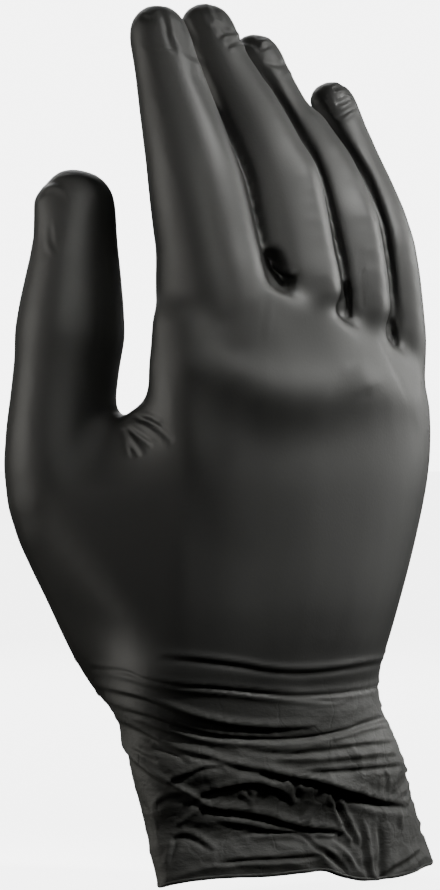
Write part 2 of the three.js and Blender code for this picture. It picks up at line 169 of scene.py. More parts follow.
# Folds on the side that the photograph shows. line is in its pixels. rise is how far the ridge
# on the line stands out and sink how deep the hollow beside it is, in millimetres: below the
# line in the picture where side is 1, above it where side is -1 and on it where side is 0.
# width is half the ridge's width, and droop how far the ridge hangs down over the hollow.
FOLDS = [
    # wrist, from the top down
    {"line": [(158, 653), (196, 656), (238, 661), (267, 666), (295, 668), (331, 666), (389, 657)],
     "rise": 0.35, "sink": 0.36, "side": 1, "width": 0.8, "droop": 0.3},
    {"line": [(90, 664), (126, 668), (146, 675), (180, 682), (213, 684), (253, 688), (295, 691),
              (331, 690), (362, 686), (388, 681)],
     "rise": 0.25, "sink": 0.65, "side": 1, "width": 0.7, "droop": 0.4},
    {"line": [(96, 669), (128, 676), (150, 682), (180, 688), (213, 691), (253, 695), (295, 697),
              (331, 697), (362, 692), (388, 688)],
     "rise": 0.7, "sink": 0.00, "side": 1, "width": 0.9, "droop": 0.0},
    {"line": [(236, 693), (262, 698), (295, 702), (330, 704), (350, 701)],
     "rise": 0.2, "sink": 0.25, "side": -1, "width": 0.6, "droop": 0.1},
    {"line": [(94, 683), (121, 689), (146, 695), (168, 704), (196, 714), (222, 720), (244, 723),
              (280, 725), (320, 724)],
     "rise": 0.7, "sink": 0.43, "side": 1, "width": 0.9, "droop": 0.5},
    {"line": [(104, 698), (126, 706), (154, 714), (182, 723), (210, 730), (238, 733), (281, 734),
              (314, 731), (345, 725), (365, 718), (388, 712)],
     "rise": 0.3, "sink": 0.79, "side": 1, "width": 0.8, "droop": 0.6},
    {"line": [(110, 706), (130, 714), (154, 723), (182, 733), (210, 740), (238, 743), (281, 743),
              (314, 741), (345, 734), (365, 728), (392, 722)],
     "rise": 0.8, "sink": 0.00, "side": 1, "width": 1.0, "droop": 0.1},
    # the ripples on the right, over the long fold
    {"line": [(250, 747), (290, 749), (331, 745), (362, 741), (392, 739)],
     "rise": 0.45, "sink": 0.36, "side": 1, "width": 0.7, "droop": 0.3},
    {"line": [(275, 758), (305, 759), (335, 757), (365, 754), (396, 752)],
     "rise": 0.45, "sink": 0.25, "side": 1, "width": 0.8, "droop": 0.2},
    {"line": [(290, 766), (322, 767), (350, 766), (384, 763), (402, 762)],
     "rise": 0.3, "sink": 0.58, "side": 1, "width": 0.7, "droop": 0.4},
    # the long fold that runs down to the right, with the deep hollow under it
    {"line": [(113, 716), (132, 723), (157, 736), (180, 747), (208, 754), (230, 761), (253, 766),
              (281, 770)],
     "rise": 0.6, "sink": 0.43, "side": 1, "width": 0.8, "droop": 0.4},
    {"line": [(262, 767), (281, 771), (309, 775), (331, 781), (359, 789), (387, 798), (408, 803)],
     "rise": 1.0, "sink": 1.08, "side": 1, "width": 1.0, "droop": 1.0},
    {"line": [(320, 800), (350, 806), (380, 812), (404, 812)],
     "rise": 0.5, "sink": 0.00, "side": 1, "width": 1.2, "droop": 0.0},
    # the fold along the left edge, and the deep one that it runs into
    {"line": [(114, 724), (123, 742), (135, 757), (151, 770), (168, 781), (185, 791), (199, 799),
              (211, 806)],
     "rise": 0.9, "sink": 0.43, "side": 1, "width": 0.9, "droop": 0.3},
    {"line": [(199, 801), (215, 805), (230, 806), (252, 809), (270, 813), (289, 819), (309, 824),
              (331, 827), (345, 829)],
     "rise": 0.8, "sink": 1.08, "side": 1, "width": 0.9, "droop": 1.0},
    {"line": [(216, 818), (244, 822), (270, 826), (300, 832)],
     "rise": 0.5, "sink": 0.29, "side": 1, "width": 0.8, "droop": 0.3},
    # arcs between the two
    {"line": [(190, 797), (202, 791), (213, 787), (233, 782), (252, 780), (269, 783), (283, 789),
              (295, 803)],
     "rise": 0.6, "sink": 0.58, "side": 1, "width": 0.8, "droop": 0.5},
    {"line": [(166, 779), (180, 774), (191, 770), (202, 765), (219, 764), (229, 769)],
     "rise": 0.5, "sink": 0.50, "side": 1, "width": 0.7, "droop": 0.3},
    {"line": [(154, 741), (166, 745), (180, 751), (192, 762)],
     "rise": 0.3, "sink": 0.43, "side": 1, "width": 0.7, "droop": 0.2},
    {"line": [(132, 744), (146, 752), (160, 757)],
     "rise": 0.4, "sink": 0.36, "side": 1, "width": 0.7, "droop": 0.2},
    # steep creases
    {"line": [(286, 772), (290, 785), (295, 804)],
     "rise": 0.3, "sink": 0.58, "side": -1, "width": 0.7, "droop": 0.0},
    {"line": [(326, 792), (318, 804), (312, 814), (304, 824)],
     "rise": 0.6, "sink": 0.36, "side": 1, "width": 0.7, "droop": 0.0},
    {"line": [(328, 792), (335, 812), (342, 826)],
     "rise": 0.6, "sink": 0.36, "side": -1, "width": 0.7, "droop": 0.0},
    {"line": [(336, 792), (346, 815), (362, 843)],
     "rise": 0.5, "sink": 0.43, "side": 1, "width": 0.7, "droop": 0.0},
    {"line": [(365, 822), (368, 840), (370, 854), (374, 872)],
     "rise": 0.7, "sink": 0.29, "side": 1, "width": 0.8, "droop": 0.0},
    {"line": [(372, 822), (376, 836), (377, 850), (375, 872)],
     "rise": 0.0, "sink": 0.79, "side": -1, "width": 0.7, "droop": 0.0},
    {"line": [(386, 768), (390, 782), (386, 798)],
     "rise": 0.2, "sink": 0.18, "side": 1, "width": 0.5, "droop": 0.0},
    {"line": [(399, 810), (402, 826)],
     "rise": 0.4, "sink": 0.14, "side": 1, "width": 0.6, "droop": 0.0},
    {"line": [(250, 786), (252, 796), (249, 804)],
     "rise": 0.3, "sink": 0.22, "side": 1, "width": 0.6, "droop": 0.0},
    {"line": [(239, 791), (246, 797), (253, 805)],
     "rise": 0.4, "sink": 0.22, "side": 1, "width": 0.6, "droop": 0.0},
    # lower cuff, on the left
    {"line": [(148, 800), (152, 812), (154, 826), (158, 842)],
     "rise": 0.3, "sink": 0.50, "side": 1, "width": 0.8, "droop": 0.0},
    {"line": [(152, 806), (163, 796), (184, 792)],
     "rise": 0.4, "sink": 0.29, "side": 1, "width": 0.7, "droop": 0.0},
    {"line": [(178, 825), (192, 813), (204, 806)],
     "rise": 0.5, "sink": 0.29, "side": -1, "width": 0.7, "droop": 0.0},
    {"line": [(170, 834), (186, 832), (202, 839), (216, 852)],
     "rise": 0.6, "sink": 0.58, "side": 1, "width": 0.8, "droop": 0.4},
    {"line": [(172, 835), (169, 848), (165, 864)],
     "rise": 0.2, "sink": 0.43, "side": -1, "width": 0.7, "droop": 0.0},
    # lower cuff, in the middle and on the right
    {"line": [(240, 830), (269, 827), (295, 829), (309, 836), (320, 848), (337, 857), (350, 866)],
     "rise": 0.4, "sink": 0.58, "side": 1, "width": 0.7, "droop": 0.4},
    {"line": [(250, 838), (280, 836), (300, 839), (316, 852)],
     "rise": 0.5, "sink": 0.00, "side": 1, "width": 0.9, "droop": 0.0},
    {"line": [(312, 834), (331, 837), (342, 828)],
     "rise": 0.4, "sink": 0.29, "side": 1, "width": 0.6, "droop": 0.0},
    {"line": [(340, 828), (352, 840)],
     "rise": 0.5, "sink": 0.22, "side": 1, "width": 0.6, "droop": 0.0},
    {"line": [(214, 865), (241, 860), (269, 858), (295, 858), (322, 857)],
     "rise": 0.3, "sink": 0.72, "side": 1, "width": 0.7, "droop": 0.4},
    {"line": [(168, 880), (200, 873), (241, 869), (290, 868), (322, 864)],
     "rise": 0.6, "sink": 0.00, "side": 1, "width": 0.9, "droop": 0.0},
    {"line": [(374, 871), (388, 858), (402, 851), (420, 842)],
     "rise": 0.7, "sink": 0.43, "side": 1, "width": 0.9, "droop": 0.2},
    {"line": [(330, 842), (345, 850), (358, 866)],
     "rise": 0.4, "sink": 0.36, "side": -1, "width": 0.7, "droop": 0.0},
    # fingertips
    {"line": [(141, 13), (147, 14), (153, 17)],
     "rise": 0.17, "sink": 0.35, "side": 1, "width": 0.6, "droop": 0.0},
    {"line": [(163, 7), (169, 16), (172, 26), (173, 34), (176, 42), (181, 53)],
     "rise": 0.25, "sink": 0.35, "side": 1, "width": 0.8, "droop": 0.0},
    {"line": [(170, 10), (179, 21), (186, 33), (193, 45)],
     "rise": 0.20, "sink": 0.21, "side": -1, "width": 0.8, "droop": 0.0},
    {"line": [(142, 50), (160, 51), (180, 52)],
     "rise": 0.12, "sink": 0.14, "side": -1, "width": 0.5, "droop": 0.0},
    {"line": [(180, 55), (192, 61), (204, 66)],
     "rise": 0.12, "sink": 0.14, "side": -1, "width": 0.7, "droop": 0.0},
    {"line": [(200, 8), (204, 20), (212, 28)],
     "rise": 0.20, "sink": 0.28, "side": 1, "width": 0.8, "droop": 0.0},
    {"line": [(206, 3), (210, 10), (215, 19), (220, 27), (224, 33)],
     "rise": 0.20, "sink": 0.42, "side": -1, "width": 0.7, "droop": 0.0},
    {"line": [(218, 18), (228, 26), (239, 31)],
     "rise": 0.25, "sink": 0.42, "side": 1, "width": 0.7, "droop": 0.0},
    {"line": [(220, 41), (229, 36), (242, 33)],
     "rise": 0.30, "sink": 0.28, "side": -1, "width": 0.7, "droop": 0.0},
    {"line": [(228, 50), (238, 46), (250, 47), (258, 53)],
     "rise": 0.25, "sink": 0.49, "side": -1, "width": 0.7, "droop": 0.0},
    {"line": [(258, 46), (264, 43), (271, 40)],
     "rise": 0.20, "sink": 0.28, "side": 1, "width": 0.6, "droop": 0.0},
    {"line": [(252, 38), (258, 41), (266, 40)],
     "rise": 0.15, "sink": 0.21, "side": -1, "width": 0.6, "droop": 0.0},
    {"line": [(262, 66), (272, 69), (283, 70), (296, 66)],
     "rise": 0.20, "sink": 0.35, "side": -1, "width": 0.8, "droop": 0.0},
    {"line": [(280, 77), (290, 73), (300, 72)],
     "rise": 0.15, "sink": 0.21, "side": -1, "width": 0.7, "droop": 0.0},
    {"line": [(330, 86), (337, 83), (344, 82)],
     "rise": 0.15, "sink": 0.21, "side": 1, "width": 0.6, "droop": 0.0},
    {"line": [(336, 108), (344, 106), (353, 101)],
     "rise": 0.10, "sink": 0.35, "side": -1, "width": 0.7, "droop": 0.0},
    {"line": [(335, 123), (346, 118), (357, 110)],
     "rise": 0.25, "sink": 0.28, "side": -1, "width": 0.7, "droop": 0.0},
    # thumb
    {"line": [(44, 190), (55, 187), (65, 192), (74, 203)],
     "rise": 0.3, "sink": 0.3, "side": -1, "width": 0.8, "droop": 0.0},
    {"line": [(45, 225), (46, 238), (48, 248), (53, 254)],
     "rise": 0.12, "sink": 0.15, "side": 1, "width": 0.6, "droop": 0.0},
    {"line": [(66, 229), (64, 244), (60, 256)],
     "rise": 0.12, "sink": 0.15, "side": 1, "width": 0.6, "droop": 0.0},
    {"line": [(54, 224), (56, 240), (61, 252)],
     "rise": 0.1, "sink": 0.12, "side": 1, "width": 0.5, "droop": 0.0},
    # pleats that run out of the web between thumb and index
    {"line": [(126, 426), (133, 440), (144, 455)],
     "rise": 0.31, "sink": 0.31, "side": 1, "width": 0.7, "droop": 0.0},
    {"line": [(127, 423), (140, 432), (155, 442)],
     "rise": 0.31, "sink": 0.31, "side": 1, "width": 0.7, "droop": 0.0},
    {"line": [(130, 420), (148, 428), (170, 446)],
     "rise": 0.25, "sink": 0.31, "side": -1, "width": 0.8, "droop": 0.0},
    {"line": [(126, 428), (129, 442), (133, 457)],
     "rise": 0.19, "sink": 0.25, "side": 1, "width": 0.7, "droop": 0.0},
    {"line": [(138, 414), (150, 417), (163, 424)],
     "rise": 0.31, "sink": 0.31, "side": 1, "width": 0.7, "droop": 0.0},
    # the hollow and pleat between index and middle finger, and the two slits beside it
    {"line": [(268, 262), (282, 268), (297, 275)],
     "rise": 1.0, "sink": 0.0, "side": 1, "width": 0.7, "droop": 0.3},
    {"line": [(346, 280), (348, 298), (349, 318)],
     "rise": 0.0, "sink": 1.5, "side": 0, "width": 0.6, "droop": 0.0},
    {"line": [(391, 318), (394, 333), (397, 346)],
     "rise": 0.0, "sink": 1.2, "side": 0, "width": 0.45, "droop": 0.0},
    # the row of knuckles, and the one behind the middle finger
    {"line": [(205, 335), (232, 372), (270, 392), (310, 396), (350, 388), (392, 368)],
     "rise": 1.5, "sink": 0.3, "side": 1, "width": 7.0, "droop": 0.0},
    {"line": [(349, 362), (358, 374), (367, 392)],
     "rise": 0.4, "sink": 0.0, "side": 1, "width": 3.0, "droop": 0.0},
    # taut lines on the back of the hand
    {"line": [(272, 294), (269, 315), (265, 343)],
     "rise": 0.12, "sink": 0.12, "side": 1, "width": 0.6, "droop": 0.0},
    {"line": [(345, 372), (338, 386), (330, 399)],
     "rise": 0.0, "sink": 0.1, "side": 1, "width": 0.9, "droop": 0.0},
    {"line": [(364, 244), (366, 268), (367, 308)],
     "rise": 0.1, "sink": 0.2, "side": 1, "width": 0.6, "droop": 0.0},
]

# Hollows in the same form that are smoothed with the skin: the valleys between the fingers, and
# the hollow where the one beside the index finger ends.
VALLEYS = [
    {"line": [(196, 70), (215, 107), (230, 138), (246, 178), (256, 222), (264, 256), (270, 272)],
     "rise": 0.0, "sink": 2.0, "side": 0, "width": 1.1, "droop": 0.0},
    {"line": [(258, 66), (278, 98), (303, 142), (317, 168), (330, 214), (341, 262), (347, 300)],
     "rise": 0.0, "sink": 1.8, "side": 0, "width": 1.1, "droop": 0.0},
    {"line": [(325, 117), (353, 158), (367, 182), (382, 221), (389, 262), (395, 330)],
     "rise": 0.0, "sink": 1.8, "side": 0, "width": 1.1, "droop": 0.0},
    {"line": [(267, 252), (277, 272), (292, 286)],
     "rise": 0.0, "sink": 4.0, "side": 0, "width": 1.7, "droop": 0.0},
]

# Where the skin is made finer above the cuff, in the photograph's pixels: boxes, as the corner
# at the upper left and the one at the lower right, and circles, as a centre and a radius.
CREASE_BOXES = [
    ((130.0, -math.inf), (math.inf, 130.0)),  # fingertips
    ((-math.inf, 165.0), (90.0, 265.0)),  # thumb
]
CREASE_CIRCLES = [(140, 432, 42), (283, 273, 26), (347, 300, 22), (394, 332, 18)]

# The cuff's rim in the photograph's pixels.
RIM = [(120, 888), (161, 886), (168, 883.5), (196, 879), (224, 876.5), (267, 875), (295, 872),
       (325, 869.5), (342, 875), (365, 879), (393, 876.5), (415, 871), (433, 862.5), (460, 860)]

# Folds on the far side, which the photograph doesn't show. line is in degrees round the cuff
# from the little finger's side by way of the palm's side, and millimetres up.
FAR_FOLDS = [
    {"line": [(-62, 53), (-30, 54), (0, 55), (35, 52), (60, 51)],
     "rise": 0.35, "sink": 0.5, "side": 1, "width": 0.9, "droop": 0.3},
    {"line": [(-58, 48), (-20, 47), (20, 46), (70, 49), (110, 53), (150, 53)],
     "rise": 0.5, "sink": 0.9, "side": 1, "width": 0.9, "droop": 0.5},
    {"line": [(-55, 40), (-20, 41), (25, 37), (70, 39), (110, 43), (150, 45)],
     "rise": 0.7, "sink": 1.1, "side": 1, "width": 1.0, "droop": 0.6},
    {"line": [(-20, 34), (20, 30), (60, 31), (95, 36), (140, 39)],
     "rise": 0.8, "sink": 0.8, "side": 1, "width": 1.0, "droop": 0.6},
    {"line": [(-50, 19), (-15, 24), (15, 23), (45, 19), (80, 22)],
     "rise": 1.0, "sink": 1.3, "side": 1, "width": 1.1, "droop": 0.8},
    {"line": [(60, 28), (90, 25), (120, 24), (150, 30)],
     "rise": 0.9, "sink": 1.1, "side": 1, "width": 1.0, "droop": 0.7},
    {"line": [(-45, 12), (-10, 10), (25, 13), (50, 10)],
     "rise": 0.7, "sink": 0.9, "side": 1, "width": 1.0, "droop": 0.5},
    {"line": [(70, 14), (100, 11), (130, 15), (160, 13)],
     "rise": 0.8, "sink": 1.0, "side": 1, "width": 1.0, "droop": 0.6},
    {"line": [(10, 8), (40, 5), (75, 6), (110, 5)],
     "rise": 0.5, "sink": 0.6, "side": 1, "width": 0.9, "droop": 0.3},
    {"line": [(30, 30), (42, 22), (48, 13)],
     "rise": 0.6, "sink": 0.6, "side": 1, "width": 0.9, "droop": 0.0},
    {"line": [(105, 34), (98, 24), (90, 14)],
     "rise": 0.6, "sink": 0.6, "side": 1, "width": 0.9, "droop": 0.0},
    {"line": [(-20, 22), (-12, 14), (-14, 6)],
     "rise": 0.6, "sink": 0.6, "side": 1, "width": 0.9, "droop": 0.0},
]


# Camera

def add_camera():
    data = bpy.data.cameras.new("camera")
    camera = bpy.data.objects.new("camera", data)
    bpy.context.scene.collection.objects.link(camera)
    target = RIGHT * FRAME_CENTRE[0] + UP * FRAME_CENTRE[1]
    place = target - FORWARD * CAMERA_DISTANCE
    camera.location = Vector(place * MM)
    camera.rotation_mode = "QUATERNION"
    camera.rotation_quaternion = Vector(FORWARD).to_track_quat("-Z", "Y")
    data.sensor_fit = "AUTO"
    data.sensor_width = SENSOR
    data.lens = SENSOR * CAMERA_DISTANCE / (PHOTO_HEIGHT * MM_PER_PIXEL)
    data.clip_start, data.clip_end = CLIP
    bpy.context.scene.camera = camera


def in_photo(points):
    """Pixel columns and rows of the photograph for points in millimetres."""
    depth = points @ FORWARD
    scale = CAMERA_DISTANCE / (CAMERA_DISTANCE + depth) / MM_PER_PIXEL
    across = (points @ RIGHT - FRAME_CENTRE[0]) * scale
    up = (points[:, 2] - FRAME_CENTRE[1]) * scale
    return np.stack([PHOTO_WIDTH / 2 + across, PHOTO_HEIGHT / 2 - up], 1)


# Meshes

def new_object(name, mesh):
    made = bpy.data.objects.new(name, mesh)
    bpy.context.scene.collection.objects.link(made)
    return made


def vertices_of(mesh):
    flat = np.zeros(len(mesh.vertices) * 3)
    mesh.vertices.foreach_get("co", flat)
    return flat.reshape(-1, 3)


def set_vertices(mesh, points):
    mesh.vertices.foreach_set("co", np.asarray(points).ravel())
    mesh.update()


def normals_of(mesh):
    flat = np.zeros(len(mesh.vertices) * 3)
    mesh.vertex_normals.foreach_get("vector", flat)
    return flat.reshape(-1, 3)


def edges_of(mesh):
    flat = np.zeros(len(mesh.edges) * 2, int)
    mesh.edges.foreach_get("vertices", flat)
    return flat.reshape(-1, 2)


def eased(low, high, values):
    """0 below low, 1 above high and smooth between."""
    share = np.clip((values - low) / (high - low), 0.0, 1.0)
    return share * share * (3.0 - 2.0 * share)


class Neighbours:
    """The mean of each vertex's neighbours, for smoothing a mesh or a value on it."""

    def __init__(self, mesh):
        edges = edges_of(mesh)
        self.a = np.concatenate([edges[:, 0], edges[:, 1]])
        self.b = np.concatenate([edges[:, 1], edges[:, 0]])
        self.size = len(mesh.vertices)
        self.count = np.maximum(np.bincount(self.a, minlength=self.size), 1)

    def mean(self, values):
        if values.ndim == 1:
            return np.bincount(self.a, values[self.b], self.size) / self.count
        return np.stack([self.mean(values[:, k]) for k in range(values.shape[1])], 1)


def outer_skin(node):
    """The node's outside as a closed body with a skirt below the mouth, as a new mesh."""
    bm = bmesh.new()
    bm.from_mesh(node.data)
    bmesh.ops.remove_doubles(bm, verts=bm.verts, dist=1e-6)
    bm.normal_update()
    rim = [
        f for f in bm.faces
        if f.normal.z < DOWNWARD and max(v.co.z for v in f.verts) < RIM_FACE_TOP * MM
    ]
    bmesh.ops.delete(bm, geom=rim, context="FACES")
    start = max(bm.verts, key=lambda v: v.co.z)
    seen = {start}
    front = [start]
    while front:
        vert = front.pop()
        for edge in vert.link_edges:
            other = edge.other_vert(vert)
            if other not in seen:
                seen.add(other)
                front.append(other)
    bmesh.ops.delete(bm, geom=[v for v in bm.verts if v not in seen], context="VERTS")
    mouth = [e for e in bm.edges if e.is_boundary]
    skirt = bmesh.ops.extrude_edge_only(bm, edges=mouth)["geom"]
    low = [e for e in skirt if isinstance(e, bmesh.types.BMEdge) and e.is_boundary]
    for vert in {v for e in low for v in e.verts}:
        vert.co.z -= MOUTH_SKIRT * MM
    bmesh.ops.edgeloop_fill(bm, edges=low)
    bmesh.ops.triangulate(bm, faces=[f for f in bm.faces if len(f.verts) > 4])
    bmesh.ops.recalc_face_normals(bm, faces=bm.faces)
    mesh = bpy.data.meshes.new("glove_skin")
    bm.to_mesh(mesh)
    bm.free()
    return mesh


def modified(mesh, kind, **settings):
    """The mesh after one modifier of that kind."""
    made = new_object("glove_work", mesh)
    modifier = made.modifiers.new("work", kind)
    for name, value in settings.items():
        setattr(modifier, name, value)
    depsgraph = bpy.context.evaluated_depsgraph_get()
    result = bpy.data.meshes.new_from_object(made.evaluated_get(depsgraph))
    bpy.data.objects.remove(made)
    return result


def remeshed(mesh, spacing):
    return modified(mesh, "REMESH", mode="VOXEL", voxel_size=spacing * MM)


def smoothed(mesh, rounds, keep, share=1.0):
    """Smooths in place. keep is how much of each inward move is given back."""
    near = Neighbours(mesh)
    points = vertices_of(mesh)
    for _ in range(rounds):
        points = points + 0.5 * share * (near.mean(points) - points)
        points = points - keep * share * (near.mean(points) - points)
    set_vertices(mesh, points)


def share_in(mesh, rows):
    """How much each vertex gets, from a table of places."""
    points = vertices_of(mesh) / MM
    share = np.zeros(len(points))
    for row in rows:
        away = (points - np.array(row["at"])) / np.array(row["reach"])
        near = np.exp(-np.einsum("ij,ij->i", away, away) ** 2)
        share = np.maximum(share, row["share"] * near)
    return share


def bridged(mesh, rounds):
    """Lets the film span hollows as taut film does: only moves that lead outward are made."""
    near = Neighbours(mesh)
    points = vertices_of(mesh)
    share = share_in(mesh, SPANS)
    chosen = share > LEAST_SHARE
    for _ in range(rounds):
        set_vertices(mesh, points)
        normals = normals_of(mesh)
        step = near.mean(points) - points
        out = np.einsum("ij,ij->i", step, normals)
        aside = step - out[:, None] * normals
        move = normals * (np.maximum(out, 0.0) * share)[:, None] + SIDEWAYS * aside
        points = points + move * chosen[:, None]
    set_vertices(mesh, points)


def pulled(mesh):
    """Moves the outline in place, as the table of pulls says."""
    points = vertices_of(mesh) / MM
    pixels = in_photo(points)
    shift = np.zeros((len(points), 2))
    for row in PULLS:
        start, end = np.array(row["from"], float), np.array(row["to"], float)
        steps = np.linspace(0, len(start) - 1, 80)
        start, end = (
            np.stack([np.interp(steps, range(len(line)), line[:, k]) for k in (0, 1)], 1)
            for line in (start, end)
        )
        reach = row["reach"]
        low, high = start.min(0) - 2.5 * reach, start.max(0) + 2.5 * reach
        near = np.nonzero(np.all((pixels > low) & (pixels < high), axis=1))[0]
        gaps = pixels[near][:, None, :] - start[None, :, :]
        distance = np.einsum("ijk,ijk->ij", gaps, gaps)
        first = distance.argmin(1)
        weight = np.exp(-distance[np.arange(len(near)), first] / reach ** 2)
        shift[near] += weight[:, None] * (end - start)[first]
    scale = MM_PER_PIXEL * (1 + points @ FORWARD / CAMERA_DISTANCE)
    points = points + RIGHT * (shift[:, 0] * scale)[:, None] - UP * (shift[:, 1] * scale)[:, None]
    set_vertices(mesh, points * MM)


def subdivided(mesh, chosen):
    """Splits each edge whose two ends are both chosen."""
    bm = bmesh.new()
    bm.from_mesh(mesh)
    edges = [e for e in bm.edges if chosen[e.verts[0].index] and chosen[e.verts[1].index]]
    bmesh.ops.subdivide_edges(bm, edges=edges, cuts=1, use_grid_fill=True)
    result = bpy.data.meshes.new("glove_skin")
    bm.to_mesh(result)
    bm.free()
    return result


def facing_camera(mesh):
    """1 where the surface looks to the photograph's camera, 0 where it looks away."""
    return eased(-0.12, 0.12, -(normals_of(mesh) @ FORWARD))


def crease_zone(points):
    """Whether each point, in millimetres, lies near the creases above the cuff."""
    pixels = in_photo(points)
    chosen = np.zeros(len(points), bool)
    for low, high in CREASE_BOXES:
        chosen |= np.all((pixels > low) & (pixels < high), axis=1)
    for column, row, radius in CREASE_CIRCLES:
        chosen |= np.hypot(pixels[:, 0] - column, pixels[:, 1] - row) < radius
    return chosen


# Folds

def drawn_line(points, spacing):
    """Points at about the spacing along a smooth curve through a row of points."""
    points = np.array(points, float)
    ends = np.concatenate([[2 * points[0] - points[1]], points, [2 * points[-1] - points[-2]]])
    drawn = []
    for k in range(len(points) - 1):
        a, b, c, d = ends[k:k + 4]
        count = max(2, int(np.ceil(np.linalg.norm(c - b) / spacing)))
        for t in np.arange(count) / count:
            drawn.append(0.5 * (
                2 * b + (c - a) * t + (2 * a - 5 * b + 4 * c - d) * t ** 2
                + (3 * b - a - 3 * c + d) * t ** 3
            ))
    drawn.append(points[-1])
    return np.array(drawn)


def folded(plane, rows, scale):
    """(out, down) in millimetres at points of a plane, in the units of the rows' lines, for all
    folds. scale is the millimetres in a unit across and up, with up counted down the picture."""
    out = np.zeros(len(plane))
    down = np.zeros(len(plane))
    for row in rows:
        line = drawn_line(np.array(row["line"]) * scale, FOLD_SPACING)
        width = row["width"]
        reach = FOLD_REACH * width
        low, high = line.min(0) - reach, line.max(0) + reach
        near = np.nonzero(np.all((plane > low) & (plane < high), axis=1))[0]
        if len(near) == 0:
            continue
        here = plane[near]
        gaps = here[:, None, :] - line[None, :, :]
        distance = np.einsum("ijk,ijk->ij", gaps, gaps)
        first = distance.argmin(1)
        ways = np.gradient(line, axis=0)
        ways /= np.linalg.norm(ways, axis=1, keepdims=True)
        way, gap = ways[first], gaps[np.arange(len(here)), first]
        aside = way[:, 0] * gap[:, 1] - way[:, 1] * gap[:, 0]
        along = np.einsum("ij,ij->i", way, gap)
        share = first / (len(line) - 1)
        taper = np.sqrt(np.clip(np.minimum(share, 1 - share) / TAPER, 0, 1))
        taper = taper * np.exp(-((along / width) ** 2))
        ridge = np.exp(-((aside / width) ** 2)) * taper
        beside = aside - row["side"] * HOLLOW_ASIDE * width
        hollow = np.exp(-((beside / (HOLLOW_WIDTH * width)) ** 2)) * taper
        out[near] += row["rise"] * ridge - row["sink"] * hollow
        down[near] += row["droop"] * ridge
    return out, down


def crumpled(points, share):
    """Fine creases of loose film, in millimetres, where share is above 0."""
    out = np.zeros(len(points))
    for k in np.nonzero(share > LEAST_SHARE)[0]:
        x, y, z = points[k]
        place = Vector((x * CRUMPLE_STRETCH, y * CRUMPLE_STRETCH, z))
        bend = noise.noise_vector(place / CRUMPLE_BEND_SIZE) * CRUMPLE_BEND
        broad = CRUMPLE_LEVEL - abs(noise.noise((place + bend) / BROAD_SIZE))
        fine = CRUMPLE_LEVEL - abs(
            noise.noise((place + bend) / FINE_SIZE + Vector(FINE_OFFSET)))
        out[k] = share[k] * (BROAD_HEIGHT * broad + FINE_HEIGHT * fine)
    return out


def far_side_folded(points, bearing):
    """(out, down) of the folds on the far side, round the cuff and up."""
    per_degree = math.radians(CUFF_RADIUS)
    plane = np.stack([bearing * per_degree, -points[:, 2]], 1)
    return folded(plane, FAR_FOLDS, np.array([per_degree, -1.0]))


def rim_shift(points, pixels, seen, bearing):
    """How far up the mouth's edge moves: to the drawn rim where it is seen, else in waves."""
    rim = drawn_line(RIM, RIM_SPACING)
    target = np.interp(pixels[:, 0], rim[:, 0], rim[:, 1])
    rim_up = (PHOTO_HEIGHT / 2 - target) * MM_PER_PIXEL * (
        1 + points @ FORWARD / CAMERA_DISTANCE) + FRAME_CENTRE[1]
    waves = RIM_WAVE * (1 - seen) * np.sin(np.radians(bearing * RIM_WAVES))
    return (rim_up - MOUTH_CUT) * seen - waves


def add_folds(mesh, inset):
    """Folds, loose film's creases and the rim's line. inset moves the skin inward, more so above
    the rim, where nothing of the inner side shows."""
    points = vertices_of(mesh) / MM
    normals = normals_of(mesh)
    seen = facing_camera(mesh)
    pixels = in_photo(points)
    bearing = np.degrees(np.arctan2(points[:, 1] - CUFF_MIDDLE, points[:, 0]))
    bearing = np.where(bearing < FAR_SIDE_START, bearing + 360, bearing)
    out, down = folded(pixels * MM_PER_PIXEL, FOLDS, PIXEL)
    far_out, far_down = far_side_folded(points, bearing)
    unseen = (1 - seen) * (points[:, 2] < FAR_FOLDS_TOP)
    out = out * seen + far_out * unseen
    down = down * seen + far_down * unseen
    out += crumpled(points, eased(CRUMPLE_FROM, CRUMPLE_TO, points[:, 2]))
    shift = rim_shift(points, pixels, seen, bearing) * eased(RIM_FALLOFF, 0.0, points[:, 2])
    inset = inset * (1 + DEEPER * eased(DEEPER_FROM, DEEPER_TO, points[:, 2]))
    points = points + normals * (out - inset)[:, None]
    points[:, 2] += shift - down
    set_vertices(mesh, points * MM)


# Skin

def with_sweeps(mesh):
    """The mesh with a closed hull over each hollow that the film spans."""
    points = vertices_of(mesh) / MM
    pixels = in_photo(points)
    seen = normals_of(mesh) @ FORWARD < 0.05
    chosen = []
    for sweep in SWEEPS:
        edge = sweep["top"][0] + sweep["top"][1] * points[:, 0]
        inside = np.all((points > sweep["low"]) & (points < sweep["high"]), axis=1)
        chosen.append(inside & (points[:, 2] < edge))
    inside = np.all((pixels > THUMB_SWEEP["low"]) & (pixels < THUMB_SWEEP["high"]), axis=1)
    chosen.append(inside & seen)
    bm = bmesh.new()
    bm.from_mesh(mesh)
    for which in chosen:
        verts = [bm.verts.new(Vector(point * MM)) for point in points[which]]
        made = bmesh.ops.convex_hull(bm, input=verts)
        spare = [g for g in made["geom_interior"] if isinstance(g, bmesh.types.BMVert)]
        bmesh.ops.delete(bm, geom=spare, context="VERTS")
    result = bpy.data.meshes.new("glove_skin")
    bm.to_mesh(result)
    bm.free()
    return result


def add_valleys(mesh):
    """Deepens the valleys between the fingers, away from the camera."""
    points = vertices_of(mesh) / MM
    out, _ = folded(in_photo(points) * MM_PER_PIXEL, VALLEYS, PIXEL)
    out = out * facing_camera(mesh)
    set_vertices(mesh, (points - FORWARD * out[:, None]) * MM)


